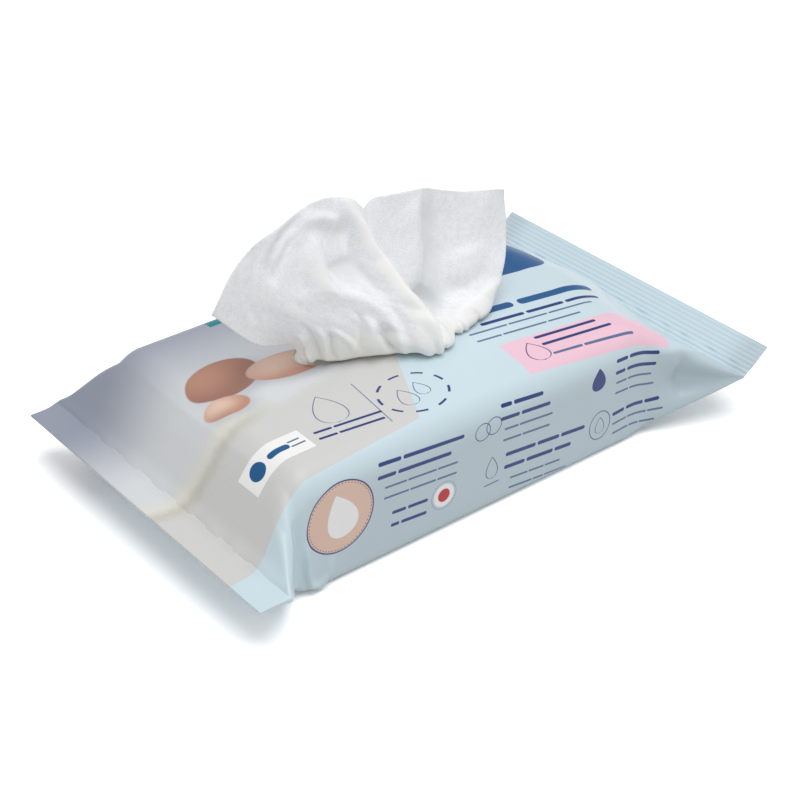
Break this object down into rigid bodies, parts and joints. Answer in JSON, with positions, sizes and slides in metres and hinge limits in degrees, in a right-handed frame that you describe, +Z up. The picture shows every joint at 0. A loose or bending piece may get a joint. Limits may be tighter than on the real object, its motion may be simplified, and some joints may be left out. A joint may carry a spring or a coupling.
{
  "type": "wet wipes pack",
  "caption": "Soft film flow-wrap pack of moist wipes with crimped end fins, standing flat, with one wipe pulled up through the oval opening in its top.",
  "frame": {"origin": "on the surface the pack lies on, under the middle of the wipe stack", "axes": "+X along the pack from the flat fin to the raised fin, +Y away from the long side that faces the viewer, +Z up through the opening"},
  "size_m": [0.2213, 0.136, 0.1055],
  "materials": {
    "printed_film": "satin",
    "moist_nonwoven": "matte"
  },
  "bodies": {
    "root": {"film_wrapper": "printed_film", "wipe_stack": "moist_nonwoven", "pulled_wipe": "moist_nonwoven"}
  },
  "joints": []
}
